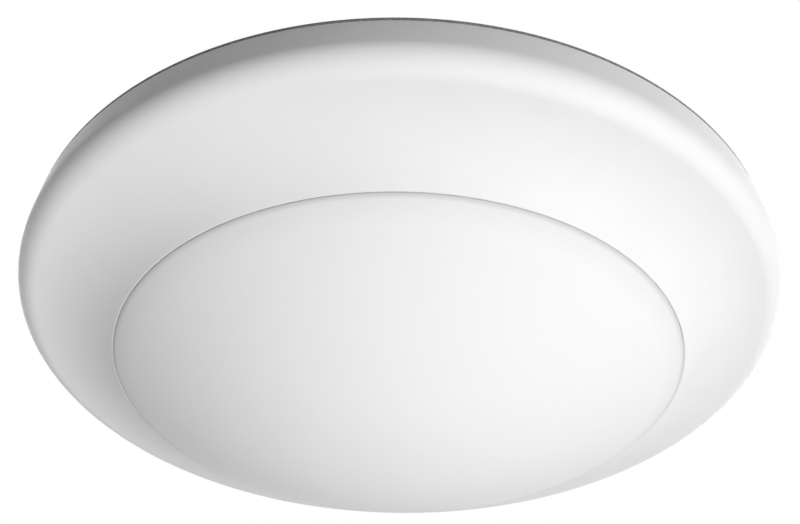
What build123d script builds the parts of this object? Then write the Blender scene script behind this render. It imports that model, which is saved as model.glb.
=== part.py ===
"""A surface-mounted LED disk light for a ceiling junction box.

The ceiling is the plane z = 0, +Z points up into the box and the lens faces down. A steel bracket is
screwed to the box. The light head hangs from three headed studs on that bracket by keyhole slots in its
back pan, and locks and unlocks with a short twist about Z.
"""

import os
from math import asin, degrees, sqrt

from build123d import *

# Trim ring: a thin shell with a rounded rim and a coved face that runs down to the lens
trim_diameter = 190.5
rim_height = 7.6  # ceiling to the start of the rounded edge
rim_draft = 0.35  # the rim wall narrows by this much in radius towards the ceiling
rim_round = 5.6
cove_start_slope = 6.0  # degrees below level, where the cove leaves the rounded edge
trim_wall = 2.2
trim_width = 25.0  # rim to the opening for the lens
seam_depth = 21.8  # ceiling to the lens seam
lip_height = 3.9  # seam up to the ledge that carries the lens
ledge_width = 2.6
locator_wall = 1.6
boss_count = 4
boss_diameter = 7.0
boss_pilot_depth = 6.0
rib_count = 12
rib_thickness = 1.4
rib_drop = 2.5  # pan's floor to the top of the ribs behind the cove

# Lens: an opal dome with a collar and a flange, trapped behind the trim
lens_gap = 0.25
lens_wall = 2.0
dome_rise = 19.8
lens_flange_thickness = 1.8
lens_gasket_thickness = 0.8
lens_gasket_inset = 0.4

# Back pan: pressed sheet that carries the light engine and hangs on the studs
pan_sheet = 1.5
pan_bend = 1.5  # bend radius on the inside of each pressed corner
pan_flange_depth = 2.5  # ceiling to the pan's outer flange
recess_depth = 6.5  # ceiling to the pan's floor, room for the bracket and its screws
recess_margin = 5.35  # lens flange to the recess wall
recess_draft = 1.5
pan_clearance = 0.45

# Foam gasket between the light and the ceiling
gasket_proud = 0.9  # how far it stands above the trim's edge
gasket_inset = 0.1
gasket_clearance = 0.8  # trim screw heads to the gasket

# Bracket on the junction box
bracket_sheet = 1.5
bracket_margin = 3.5  # studs to the bracket's edge
bracket_clearance = 1.5  # driver can to the hole it passes through
bracket_rim = 4.0
bracket_bend = 1.0
box_screw_spacing = 88.9
box_slot_width = 5.0
box_slot_length = 9.0

# Twist lock
stud_count = 3
keyhole_margin = 1.8  # LED board's edge to the keyholes
stud_first_angle = 30.0
stud_shank_diameter = 5.0
stud_tenon_diameter = 3.2
stud_head_diameter = 9.0
stud_head_height = 1.7
stud_head_round = 0.4  # of the head's height
lock_gap = 0.3  # stud to keyhole, and stud head to pan
head_gap = 0.7  # stud head to the keyhole's round end
twist_angle = 20.0

# Light engine
board_margin = 18.0  # lens wall to the LED board's edge
board_thickness = 1.6
board_hole_radius = 6.5
pad_margin = 16.0  # LED board's edge to the pad's edge
pad_thickness = 0.5
led_counts = (6, 12, 18)  # LEDs on each ring, from the inside out
led_inner_radius = 15.0
led_edge = 9.0  # outer ring to the board's edge
led_length = 3.5
led_width = 2.8
led_height = 0.8
led_window_margin = 0.45
led_window_depth = 0.15
board_screw_count = 3
board_screw_angle = 90.0
reflector_wall = 1.2
reflector_lap = 3.0  # how far the reflector laps over the edge of the board
reflector_throat = 1.0  # board edge to the start of the reflector's cone

# Driver can and what is in it
can_sheet = 1.0
can_bend = 1.5
can_height = 19.0  # ceiling to the can's roof, up inside the junction box
can_flange_margin = 0.8  # screw head to the edge of the can's flange
can_screw_count = 3
can_screw_angle = 90.0
liner_gap = 0.2
liner_wall = 0.5
liner_bend = 0.8
liner_hole_clearance = 0.4  # grommet to the hole in the liner
driver_radius = 30.0
driver_clearance = 1.3  # driver board to the liner
driver_thickness = 1.6
spacer_height = 5.5
spacer_diameter = 5.5
spacer_count = 3
spacer_inset = 4.5  # driver board's edge to the spacers' axes
spacer_angle = 30.0
spacer_screw_gap = 0.8  # tips of the driver board's screws to the pan
grommet_inset = 13.0  # can's wall to the grommet's axis, on the -Y side
grommet_bore = 6.4
grommet_neck = 9.0
grommet_flange = 13.0
grommet_lip = 1.6

# Components, with their places on the driver board
transformer_place = (0.0, 8.0)
core_length = 13.0
core_depth = 6.0
core_height = 11.0
core_leg = 3.0
winding_gap = 0.2
smoothing_place = (15.0, -5.0)
smoothing_diameter = 10.0
smoothing_height = 14.0
smoothing_neck = 2.0
smoothing_groove = 0.5
film_place = (-12.5, 5.0)
film_size = (5.5, 12.0, 9.5)
film_chamfer = 0.4
rectifier_place = (-12.0, -8.0)
rectifier_size = (8.0, 6.4, 3.2)
rectifier_chamfer = 0.5
chip_place = (11.5, 12.0)
chip_size = (5.0, 4.0, 1.5)
chip_pins = 4
chip_pin_pitch = 1.27
chip_pin_size = (0.4, 1.0, 0.25)
choke_place = (0.0, -6.0)
choke_diameter = 8.0
choke_height = 8.0
choke_flange = 1.5
choke_waist = 6.0
fuse_place = (-9.5, -18.5)
fuse_diameter = 8.0
fuse_height = 7.5
fuse_rounding = 0.6

# Wiring between the driver and the LED board
bush_bore = 7.4
bush_wall = 1.2
bush_flange = 1.4
bush_lip = 1.0
lead_diameter = 1.5
lead_spacing = 4.4
lead_bend = 2.6
lead_landing = 3.0

# Fasteners and fits
screw_diameter = 3.0
screw_head_diameter = 5.6
screw_head_height = 1.9
screw_head_round = 0.45  # of the head's height
screw_recess_diameter = 2.6
screw_recess_depth = 1.0
screw_recess_width = 0.65
screw_clearance = 0.2  # radial, through a plain hole
screw_thread_gap = 0.05  # radial, in the hole that the screw cuts its thread in
ground_screw_diameter = 4.2
ground_head_diameter = 8.0
ground_head_height = 2.6
ground_slot_width = 1.2
ground_slot_depth = 0.9
ground_screw_length = 8.0
ground_screw_angle = 90.0
ground_inset = 13.0  # bracket's edge to the earth screw
fit_gap = 0.2
edge_break = 0.4  # small rounding on visible edges

# Places that follow from those sizes
trim_radius = trim_diameter / 2
trim_edge_radius = trim_radius - rim_draft
trim_edge_z = -gasket_proud
seam_radius = trim_radius - trim_width
ledge_z = -seam_depth + lip_height
ledge_radius = seam_radius + ledge_width
lens_radius = seam_radius - lens_gap
lens_inner_radius = lens_radius - lens_wall
lens_flange_radius = ledge_radius - fit_gap
lens_flange_bottom_z = ledge_z + lens_gasket_thickness
lens_flange_top_z = lens_flange_bottom_z + lens_flange_thickness
dome_radius = (lens_radius**2 + dome_rise**2) / (2 * dome_rise)
dome_centre_z = -seam_depth - dome_rise + dome_radius

pan_flange_z = -pan_flange_depth
pan_flange_front_z = pan_flange_z - pan_sheet
pan_floor_z = -recess_depth
pan_front_z = pan_floor_z - pan_sheet
pan_radius = trim_edge_radius - trim_wall - pan_clearance
recess_radius = lens_flange_radius + recess_margin
boss_circle_radius = (recess_radius + recess_draft + pan_radius) / 2
gasket_inner_radius = boss_circle_radius + screw_head_diameter / 2 + gasket_clearance
rib_top_z = pan_front_z - rib_drop

board_radius = lens_inner_radius - board_margin
pad_radius = board_radius - pad_margin
led_ring_step = (board_radius - led_edge - led_inner_radius) / (len(led_counts) - 1)
board_screw_circle_radius = led_inner_radius + led_ring_step / 2
stud_circle_radius = board_radius + keyhole_margin + head_gap + stud_head_diameter / 2
bracket_radius = stud_circle_radius + stud_shank_diameter / 2 + bracket_margin
ground_screw_radius = bracket_radius - ground_inset
board_back_z = pan_front_z - pad_thickness
board_front_z = board_back_z - board_thickness
bracket_under_z = -bracket_sheet
stud_seat_z = pan_front_z - lock_gap
stud_head_bottom_z = stud_seat_z - stud_head_height
slot_width = stud_shank_diameter + 2 * lock_gap
keyhole_diameter = stud_head_diameter + 2 * head_gap

liner_radius = driver_radius + driver_clearance + liner_wall
can_inner_radius = liner_radius + liner_gap
can_radius = can_inner_radius + can_sheet
bracket_hole_radius = can_radius + bracket_clearance
grommet_offset = can_inner_radius - grommet_inset
spacer_circle_radius = driver_radius - spacer_inset
can_screw_circle_radius = can_radius + can_bend + screw_head_diameter / 2 + fit_gap
can_flange_radius = can_screw_circle_radius + screw_head_diameter / 2 + can_flange_margin
can_flange_z = pan_floor_z + can_sheet
can_inner_top_z = can_height - can_sheet
liner_top_z = can_inner_top_z - liner_gap
driver_bottom_z = pan_floor_z + spacer_height
driver_top_z = driver_bottom_z + driver_thickness
thread_hole_diameter = screw_diameter + 2 * screw_thread_gap
plain_hole_diameter = screw_diameter + 2 * screw_clearance


def spread(radius, count, first_angle=0.0):
    """Places evenly round the light's axis."""
    return PolarLocations(radius, count, first_angle)


def revolved(profile):
    """The solid that a profile in the XZ plane sweeps round the light's axis."""
    return revolve(Plane.XZ * profile, Axis.Z)


def drilled(part, places, diameter, low_z, high_z):
    """The part with a round hole at each place."""
    drill = Pos(0, 0, (low_z + high_z) / 2) * Cylinder(diameter / 2, high_z - low_z)
    return part - [place * drill for place in places]


def sheet_profile(points, bend, thickness, side):
    """A bent sheet's section: an open line with rounded corners, given its thickness on one side."""
    line = FilletPolyline(*points, radius=bend)
    return make_face(Wire(line.edges()).offset_2d(thickness, side=side))


def pan_head_screw(under_head_z, length, points_up):
    """A cross-recessed screw on the Z axis, whose head sits under or on the plane under_head_z."""
    out = -1 if points_up else 1
    radius = screw_head_diameter / 2
    head = Cylinder(radius, screw_head_height)
    outer_edge = head.edges().group_by(Axis.Z)[-1]
    head = fillet(outer_edge, screw_head_height * screw_head_round)
    arm = Box(screw_recess_diameter, screw_recess_width, 2 * screw_recess_depth)
    cross = arm + Rot(0, 0, 90) * arm
    head -= Pos(0, 0, screw_head_height / 2) * cross
    head = Pos(0, 0, screw_head_height / 2) * head
    shank = Pos(0, 0, -length / 2) * Cylinder(screw_diameter / 2, length)
    screw = head + shank
    if out < 0:
        screw = Rot(180, 0, 0) * screw
    return Pos(0, 0, under_head_z) * screw


def trim_face_line():
    """The trim's outer line, from the ceiling edge over the rounded rim and down the cove to the seam."""
    wall = Line((trim_edge_radius, trim_edge_z), (trim_radius, -rim_height))
    heading = degrees(asin(rim_draft / wall.length))
    rim = JernArc(wall @ 1, wall % 1, rim_round, -(90 - cove_start_slope + heading))
    cove = TangentArc(rim @ 1, (seam_radius, -seam_depth), tangent=rim % 1)
    return [wall, rim, cove]


def behind_trim_face():
    """All that lies between the trim's outer line and the light's axis, up to the trim's edge."""
    line = trim_face_line()
    seam = line[-1] @ 1
    closing = Polyline(seam, (0, -seam_depth), (0, trim_edge_z), (trim_edge_radius, trim_edge_z))
    return make_face([*line, *closing.edges()])


def trim_ring():
    """The coved trim, with the lip and ledge for the lens and the bosses for the pan's screws."""
    inside = behind_trim_face()
    shell = make_face(Wire(trim_face_line()).offset_2d(trim_wall, side=Side.RIGHT))
    lip_width = ledge_width + locator_wall
    lip_top_z = lens_flange_top_z
    lip_size = lip_top_z + seam_depth
    lip = Pos(seam_radius + lip_width / 2, -seam_depth + lip_size / 2) * Rectangle(lip_width, lip_size)
    opening = Pos(seam_radius / 2, -seam_depth + lip_size / 2) * Rectangle(seam_radius, lip_size)
    pocket_size = lip_top_z - ledge_z
    pocket = Pos(ledge_radius / 2, ledge_z + pocket_size / 2) * Rectangle(ledge_radius, pocket_size)
    section = ((shell + lip) & inside) - opening - pocket
    corners = section.vertices()
    seam_corner = corners.sort_by_distance((seam_radius, -seam_depth))[0]
    rim_corner = corners.sort_by_distance((trim_edge_radius, trim_edge_z))[0]
    ring = revolved(fillet([seam_corner, rim_corner], edge_break))
    rib_start = ledge_radius + locator_wall / 2
    rib_height = rib_top_z + seam_depth
    rib = Pos((rib_start + trim_radius) / 2, 0, rib_top_z - rib_height / 2) * Box(
        trim_radius - rib_start, rib_thickness, rib_height
    )
    ribs = Part() + [place * rib for place in spread(0, rib_count)]
    ring += ribs & revolved(inside)
    boss_length = pan_flange_front_z + seam_depth
    post = Pos(0, 0, pan_flange_front_z - boss_length / 2) * Cylinder(boss_diameter / 2, boss_length)
    posts = Part() + [place * post for place in spread(boss_circle_radius, boss_count, 45)]
    ring += posts & revolved(inside)
    return drilled(
        ring,
        spread(boss_circle_radius, boss_count, 45),
        thread_hole_diameter,
        pan_flange_front_z - boss_pilot_depth,
        pan_flange_front_z,
    )


def diffuser_lens():
    """The opal dome, its collar in the trim's opening and the flange that the trim's ledge carries."""
    inner_dome_radius = dome_radius - lens_wall
    dome_edge_z = dome_centre_z - sqrt(inner_dome_radius**2 - lens_inner_radius**2)
    outside = RadiusArc((0, -seam_depth - dome_rise), (lens_radius, -seam_depth), -dome_radius)
    steps = Polyline(
        (lens_radius, -seam_depth),
        (lens_radius, lens_flange_bottom_z),
        (lens_flange_radius, lens_flange_bottom_z),
        (lens_flange_radius, lens_flange_top_z),
        (lens_inner_radius, lens_flange_top_z),
        (lens_inner_radius, dome_edge_z),
    )
    inside = RadiusArc(
        (lens_inner_radius, dome_edge_z), (0, dome_centre_z - inner_dome_radius), inner_dome_radius
    )
    axis = Line((0, dome_centre_z - inner_dome_radius), (0, -seam_depth - dome_rise))
    section = make_face([outside, *steps.edges(), inside, axis])
    seam_corner = section.vertices().sort_by_distance((lens_radius, -seam_depth))[0]
    return revolved(fillet(seam_corner, edge_break))


def lens_gasket():
    """A flat silicone ring between the trim's ledge and the lens flange."""
    inner = seam_radius + lens_gasket_inset
    outer = lens_flange_radius - lens_gasket_inset
    section = Rectangle(outer - inner, lens_gasket_thickness)
    return revolved(Pos((inner + outer) / 2, ledge_z + lens_gasket_thickness / 2) * section)


def reflector_ring():
    """A white cone from the edge of the LED board to the lens, with a collar that holds the lens down."""
    lap_z = board_front_z - reflector_wall
    line = Polyline(
        (board_radius - reflector_lap, lap_z),
        (board_radius + reflector_throat, lap_z),
        (lens_inner_radius, lens_flange_top_z),
        (lens_flange_radius, lens_flange_top_z),
        (lens_flange_radius, pan_front_z),
    )
    section = Wire(line.edges()).offset_2d(reflector_wall, kind=Kind.INTERSECTION, side=Side.LEFT)
    return revolved(make_face(section))


def keyholes():
    """The sketch of the slots that the studs lock in, each with a round end that passes a stud's head."""
    cut = Sketch()
    for number in range(stud_count):
        angle = stud_first_angle + number * 360 / stud_count
        path = CenterArc((0, 0), stud_circle_radius, angle, twist_angle)
        cut += SlotArc(path, slot_width)
        cut += Pos(path @ 1) * Circle(keyhole_diameter / 2)
    return cut


def back_pan():
    """The pressed pan: a flange on the trim's bosses, a recess for the bracket, a floor with keyholes."""
    section = sheet_profile(
        [
            (0, pan_floor_z),
            (recess_radius, pan_floor_z),
            (recess_radius + recess_draft, pan_flange_z),
            (pan_radius, pan_flange_z),
        ],
        pan_bend,
        pan_sheet,
        Side.RIGHT,
    )
    pan = revolved(section)
    pan -= Pos(0, 0, pan_front_z) * extrude(keyholes(), pan_sheet)
    pan = drilled(pan, [Pos(0, 0, 0)], bush_bore + 2 * (bush_wall + fit_gap), pan_front_z, pan_floor_z)
    pan = drilled(
        pan,
        spread(boss_circle_radius, boss_count, 45),
        plain_hole_diameter,
        pan_flange_front_z,
        pan_flange_z,
    )
    for places in (
        spread(board_screw_circle_radius, board_screw_count, board_screw_angle),
        spread(can_screw_circle_radius, can_screw_count, can_screw_angle),
    ):
        pan = drilled(pan, places, thread_hole_diameter, pan_front_z, pan_floor_z)
    return pan


def rear_gasket():
    """The foam ring on the pan's flange, with a lip over the trim's edge."""
    step_radius = trim_edge_radius - trim_wall - fit_gap
    outer = trim_edge_radius - gasket_inset
    section = make_face(
        Polyline(
            (gasket_inner_radius, 0),
            (outer, 0),
            (outer, trim_edge_z),
            (step_radius, trim_edge_z),
            (step_radius, pan_flange_z),
            (gasket_inner_radius, pan_flange_z),
            close=True,
        )
    )
    return revolved(section)


def mounting_bracket():
    """The ring plate on the junction box, with a turned-down rim and slots for the box's two screws."""
    section = sheet_profile(
        [(bracket_hole_radius, 0), (bracket_radius, 0), (bracket_radius, -bracket_rim)],
        bracket_bend + bracket_sheet,
        bracket_sheet,
        Side.RIGHT,
    )
    plate = revolved(section)
    slots = Sketch() + [
        Pos(side * box_screw_spacing / 2, 0) * SlotOverall(box_slot_length, box_slot_width)
        for side in (-1, 1)
    ]
    plate -= Pos(0, 0, bracket_under_z) * extrude(slots, bracket_sheet)
    plate = drilled(
        plate,
        spread(stud_circle_radius, stud_count, stud_first_angle),
        stud_tenon_diameter + 2 * screw_thread_gap,
        bracket_under_z,
        0,
    )
    return drilled(
        plate,
        spread(ground_screw_radius, 1, ground_screw_angle),
        ground_screw_diameter + 2 * screw_thread_gap,
        bracket_under_z,
        0,
    )


def lock_studs():
    """Headed studs riveted into the bracket, which the keyholes slide on."""
    section = make_face(
        Polyline(
            (0, 0),
            (stud_tenon_diameter / 2, 0),
            (stud_tenon_diameter / 2, bracket_under_z),
            (stud_shank_diameter / 2, bracket_under_z),
            (stud_shank_diameter / 2, stud_seat_z),
            (stud_head_diameter / 2, stud_seat_z),
            (stud_head_diameter / 2, stud_head_bottom_z),
            (0, stud_head_bottom_z),
            close=True,
        )
    )
    stud = revolved(section)
    stud = fillet(stud.edges().group_by(Axis.Z)[0], stud_head_height * stud_head_round)
    return [place * stud for place in spread(stud_circle_radius, stud_count, stud_first_angle)]


def ground_screw():
    """The hexagon-headed earth screw, put up through the bracket into the box."""
    head = extrude(RegularPolygon(ground_head_diameter / 2, 6), ground_head_height)
    head -= Box(ground_head_diameter, ground_slot_width, 2 * ground_slot_depth)
    shank = Pos(0, 0, ground_head_height + ground_screw_length / 2) * Cylinder(
        ground_screw_diameter / 2, ground_screw_length
    )
    screw = Pos(0, 0, bracket_under_z - ground_head_height) * (head + shank)
    return [place * screw for place in spread(ground_screw_radius, 1, ground_screw_angle)]


def led_places():
    """Where the LEDs sit, each turned to face along its ring."""
    places = []
    for number, count in enumerate(led_counts):
        first_angle = number * 180 / count
        places += list(spread(led_inner_radius + number * led_ring_step, count, first_angle))
    return places


def led_board():
    """The white metal-core board."""
    board = Pos(0, 0, (board_back_z + board_front_z) / 2) * Cylinder(board_radius, board_thickness)
    board = drilled(board, [Pos(0, 0, 0)], 2 * board_hole_radius, board_front_z, board_back_z)
    return drilled(
        board,
        spread(board_screw_circle_radius, board_screw_count, board_screw_angle),
        plain_hole_diameter,
        board_front_z,
        board_back_z,
    )


def led_chips():
    """The LED packages, each with a sunk window."""
    body = Box(led_width, led_length, led_height)
    window = Box(
        led_width - 2 * led_window_margin, led_length - 2 * led_window_margin, 2 * led_window_depth
    )
    chip = body - Pos(0, 0, -led_height / 2) * window
    return [Pos(0, 0, board_front_z - led_height / 2) * place * chip for place in led_places()]


def thermal_pad():
    """The soft pad that carries heat from the board to the pan."""
    pad = Pos(0, 0, (pan_front_z + board_back_z) / 2) * Cylinder(pad_radius, pad_thickness)
    pad = drilled(pad, [Pos(0, 0, 0)], 2 * board_hole_radius, board_back_z, pan_front_z)
    return drilled(
        pad,
        spread(board_screw_circle_radius, board_screw_count, board_screw_angle),
        plain_hole_diameter,
        board_back_z,
        pan_front_z,
    )


def trim_screws():
    """Screws from behind, through the pan's flange into the trim's bosses."""
    screw = pan_head_screw(pan_flange_z, pan_sheet + boss_pilot_depth - fit_gap, points_up=False)
    return [place * screw for place in spread(boss_circle_radius, boss_count, 45)]


def board_screws():
    """Screws from the front, through the LED board and its pad into the pan."""
    length = board_thickness + pad_thickness + pan_sheet + fit_gap
    screw = pan_head_screw(board_front_z, length, points_up=True)
    places = spread(board_screw_circle_radius, board_screw_count, board_screw_angle)
    return [place * screw for place in places]


def can_screws():
    """Screws through the driver can's flange, ending inside the pan's floor."""
    screw = pan_head_screw(can_flange_z, can_sheet + pan_sheet - fit_gap, points_up=False)
    places = spread(can_screw_circle_radius, can_screw_count, can_screw_angle)
    return [place * screw for place in places]


def driver_can():
    """The drawn steel hat over the driver, which goes up into the junction box."""
    section = sheet_profile(
        [
            (can_flange_radius, can_flange_z),
            (can_radius, can_flange_z),
            (can_radius, can_height),
            (0, can_height),
        ],
        can_bend,
        can_sheet,
        Side.LEFT,
    )
    can = revolved(section)
    grommet_hole = grommet_neck + 2 * screw_thread_gap
    can = drilled(can, [Pos(0, -grommet_offset, 0)], grommet_hole, can_inner_top_z, can_height)
    return drilled(
        can,
        spread(can_screw_circle_radius, can_screw_count, can_screw_angle),
        plain_hole_diameter,
        pan_floor_z,
        can_flange_z,
    )


def wire_grommet():
    """The rubber bush in the can's roof for the supply leads."""
    low_z = can_inner_top_z - grommet_lip
    high_z = can_height + grommet_lip
    section = make_face(
        Polyline(
            (grommet_bore / 2, low_z),
            (grommet_flange / 2, low_z),
            (grommet_flange / 2, can_inner_top_z),
            (grommet_neck / 2, can_inner_top_z),
            (grommet_neck / 2, can_height),
            (grommet_flange / 2, can_height),
            (grommet_flange / 2, high_z),
            (grommet_bore / 2, high_z),
            close=True,
        )
    )
    return Pos(0, -grommet_offset, 0) * revolved(section)


def driver_liner():
    """The thin insulating cup inside the can, with room round the grommet."""
    section = sheet_profile(
        [(liner_radius, pan_floor_z), (liner_radius, liner_top_z), (0, liner_top_z)],
        liner_bend,
        liner_wall,
        Side.LEFT,
    )
    liner = revolved(section)
    return drilled(
        liner,
        [Pos(0, -grommet_offset, 0)],
        grommet_flange + 2 * liner_hole_clearance,
        liner_top_z - liner_wall,
        liner_top_z,
    )


def driver_board():
    """The driver's round circuit board, held off the pan by spacers."""
    board = Pos(0, 0, (driver_bottom_z + driver_top_z) / 2) * Cylinder(driver_radius, driver_thickness)
    return drilled(
        board,
        spread(spacer_circle_radius, spacer_count, spacer_angle),
        plain_hole_diameter,
        driver_bottom_z,
        driver_top_z,
    )


def board_spacers():
    """Tapped spacers on the pan that carry the driver board."""
    tube = Cylinder(spacer_diameter / 2, spacer_height) - Cylinder(thread_hole_diameter / 2, spacer_height)
    post = Pos(0, 0, (pan_floor_z + driver_bottom_z) / 2) * tube
    return [place * post for place in spread(spacer_circle_radius, spacer_count, spacer_angle)]


def driver_screws():
    """Screws through the driver board into the spacers."""
    length = driver_thickness + spacer_height - spacer_screw_gap
    screw = pan_head_screw(driver_top_z, length, points_up=False)
    return [place * screw for place in spread(spacer_circle_radius, spacer_count, spacer_angle)]


def lead_bush():
    """The insulating bush in the pan's centre hole, for the leads to the LED board."""
    sleeve_radius = bush_bore / 2 + bush_wall
    section = make_face(
        Polyline(
            (bush_bore / 2, pan_front_z),
            (sleeve_radius, pan_front_z),
            (sleeve_radius, pan_floor_z),
            (sleeve_radius + bush_flange, pan_floor_z),
            (sleeve_radius + bush_flange, pan_floor_z + bush_lip),
            (bush_bore / 2, pan_floor_z + bush_lip),
            close=True,
        )
    )
    return revolved(section)


def led_lead(side):
    """One insulated lead: down from the driver board, through the bush, and out along the LED board."""
    x = side * lead_spacing / 2
    landing_z = board_front_z - lead_diameter / 2
    route = FilletPolyline(
        (x, 0, driver_bottom_z),
        (x, 0, landing_z),
        (x + side * (lead_bend + lead_landing), 0, landing_z),
        radius=lead_bend,
    )
    section = Plane((x, 0, driver_bottom_z), z_dir=(0, 0, -1)) * Circle(lead_diameter / 2)
    return sweep(section, path=Wire(route.edges()))


def transformer():
    """A small ferrite transformer: a core with two windows, and the wound bobbin on its middle leg."""
    window = (core_length - 3 * core_leg) / 2
    window_height = core_height - 2 * core_leg
    core = Box(core_length, core_depth, core_height)
    for side in (-1, 1):
        core -= Pos(side * (core_leg + window) / 2, 0, 0) * Box(window, core_depth, window_height)
    reach = 2 * (window - winding_gap)
    bobbin = Box(core_leg + reach, core_depth + reach, window_height - 2 * winding_gap)
    bobbin = fillet(bobbin.edges().filter_by(Axis.Z), window / 2)
    bobbin -= Box(core_leg + 2 * winding_gap, core_depth + 2 * winding_gap, window_height)
    return [Pos(0, 0, core_height / 2) * core, Pos(0, 0, core_height / 2) * bobbin]


def standing_block(size, edge):
    """A moulded block on the board, with its top edges chamfered."""
    block = Box(*size, align=(Align.CENTER, Align.CENTER, Align.MIN))
    return chamfer(block.edges().group_by(Axis.Z)[-1], edge)


def standing_drum(diameter, height):
    """A plain upright cylinder on the board."""
    return Cylinder(diameter / 2, height, align=(Align.CENTER, Align.CENTER, Align.MIN))


def smoothing_capacitor():
    """An upright electrolytic can with its rolled neck."""
    can = standing_drum(smoothing_diameter, smoothing_height)
    can = fillet(can.edges(), smoothing_groove)
    ring_radius = (smoothing_diameter + smoothing_groove) / 2
    return can - Pos(0, 0, smoothing_neck) * Torus(ring_radius, smoothing_groove)


def control_chip():
    """The driver's eight-pin controller."""
    length, width, height = chip_size
    block = Box(length, width, height, align=(Align.CENTER, Align.CENTER, Align.MIN))
    pin = Box(*chip_pin_size, align=(Align.CENTER, Align.CENTER, Align.MIN))
    for number in range(chip_pins):
        x = (number - (chip_pins - 1) / 2) * chip_pin_pitch
        for side in (-1, 1):
            block += Pos(x, side * (width + chip_pin_size[1]) / 2, 0) * pin
    return block


def filter_choke():
    """The drum-core choke."""
    drum = standing_drum(choke_diameter, choke_height)
    waist_height = choke_height - 2 * choke_flange
    waist = Cylinder(choke_diameter / 2, waist_height) - Cylinder(choke_waist / 2, waist_height)
    return drum - Pos(0, 0, choke_height / 2) * waist


def mains_fuse():
    """The round radial fuse."""
    body = standing_drum(fuse_diameter, fuse_height)
    return fillet(body.edges().group_by(Axis.Z)[-1], fuse_rounding)


def on_driver(shapes, place):
    """A component set down on the driver board."""
    shapes = shapes if isinstance(shapes, list) else [shapes]
    return [Pos(*place, driver_top_z) * shape for shape in shapes]


nodes = {
    "trim_ring": trim_ring(),
    "diffuser_lens": diffuser_lens(),
    "lens_gasket": lens_gasket(),
    "reflector_ring": reflector_ring(),
    "back_pan": back_pan(),
    "rear_gasket": rear_gasket(),
    "mounting_bracket": mounting_bracket(),
    "lock_studs": lock_studs(),
    "ground_screw": ground_screw(),
    "led_board": led_board(),
    "led_chips": led_chips(),
    "thermal_pad": thermal_pad(),
    "trim_screws": trim_screws(),
    "board_screws": board_screws(),
    "can_screws": can_screws(),
    "driver_can": driver_can(),
    "wire_grommet": wire_grommet(),
    "driver_liner": driver_liner(),
    "driver_board": driver_board(),
    "board_spacers": board_spacers(),
    "driver_screws": driver_screws(),
    "lead_bush": lead_bush(),
    "positive_lead": led_lead(1),
    "negative_lead": led_lead(-1),
    "transformer": on_driver(transformer(), transformer_place),
    "smoothing_capacitor": on_driver(smoothing_capacitor(), smoothing_place),
    "film_capacitor": on_driver(standing_block(film_size, film_chamfer), film_place),
    "bridge_rectifier": on_driver(standing_block(rectifier_size, rectifier_chamfer), rectifier_place),
    "control_chip": on_driver(control_chip(), chip_place),
    "filter_choke": on_driver(filter_choke(), choke_place),
    "mains_fuse": on_driver(mains_fuse(), fuse_place),
}

os.makedirs("parts", exist_ok=True)
for name, shape in nodes.items():
    solids = [s for item in (shape if isinstance(shape, list) else [shape]) for s in item.solids()]
    export_step(solids[0] if len(solids) == 1 else Compound(children=solids), f"parts/{name}.step")
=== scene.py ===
"""A coved white ceiling disk light with an opal dome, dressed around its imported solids.

Sizes are in metres. The ceiling is z = 0, the lens faces down, and depths are measured down from the ceiling.
"""

from math import asin, atan2, copysign, cos, hypot, pi, radians, sin, sqrt, tan
from typing import NamedTuple

import bpy
from bpy.props import FloatProperty, FloatVectorProperty, IntProperty, PointerProperty
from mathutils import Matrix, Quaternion, Vector


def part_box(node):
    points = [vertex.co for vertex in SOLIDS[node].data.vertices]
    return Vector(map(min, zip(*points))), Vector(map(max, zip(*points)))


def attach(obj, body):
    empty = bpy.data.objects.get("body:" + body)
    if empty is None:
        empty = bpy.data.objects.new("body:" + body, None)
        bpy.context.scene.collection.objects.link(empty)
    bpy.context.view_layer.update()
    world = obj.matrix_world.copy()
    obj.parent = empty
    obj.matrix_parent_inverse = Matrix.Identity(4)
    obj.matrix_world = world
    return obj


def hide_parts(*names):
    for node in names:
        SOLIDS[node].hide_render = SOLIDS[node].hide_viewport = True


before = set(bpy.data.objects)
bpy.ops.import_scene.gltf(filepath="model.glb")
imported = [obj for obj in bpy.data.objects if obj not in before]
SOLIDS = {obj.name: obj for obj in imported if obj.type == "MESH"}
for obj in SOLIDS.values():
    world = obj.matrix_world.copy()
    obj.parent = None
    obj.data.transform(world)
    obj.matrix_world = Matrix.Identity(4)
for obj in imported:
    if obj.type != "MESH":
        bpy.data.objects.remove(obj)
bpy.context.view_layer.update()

bl_info = {
    "name": "Disk Light",
    "version": (1, 0, 0),
    "blender": (4, 5, 0),
    "location": "View3D > Sidebar > Disk Light",
    "description": "Builds the looks of a round ceiling light around its solids",
    "category": "Object",
}

POLE = 0.0003  # radius of the small ring that is closed over a turned piece's axis
CUT_MARGIN = 0.001  # how far a cutter stands out of the sheet that it cuts
MERGE_DISTANCE = 2e-6  # how near two points are to count as one
SMOOTH_ANGLE = radians(30)  # the sharpest fold that is still shaded smooth
CORNER_STEPS = 6  # segments in a small rounded corner
RIM_STEPS = 20  # segments in the trim's rounded edge
COVE_STEPS = 36  # segments down the trim's cove
BACK_RIM_STEPS = 10  # segments behind the rounded edge
BACK_COVE_STEPS = 24  # segments behind the cove
DOME_STEPS = 64  # segments from the lens's outer pole to its rim
DOME_INSIDE_STEPS = 32  # segments from its rim to its inner pole
THREAD_RIDGE = ((0.1, 0), (0.45, 1), (0.6, 1), (0.95, 0))  # shares of the pitch, and of the depth there
SCREW_POINT = 0.6  # width of a screw's tip as a share of its core
RECESS_TAPER = (0.45, 0.6, 1)  # how a cross recess narrows to its floor
HEX_CHAMFER = (0.84, 1.05, 0.14)  # a hexagon head's chamfer: start, end and rise, in corner radii
EARTH_POINT = 0.8  # width of the earth screw's tip as a share of its core
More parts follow.
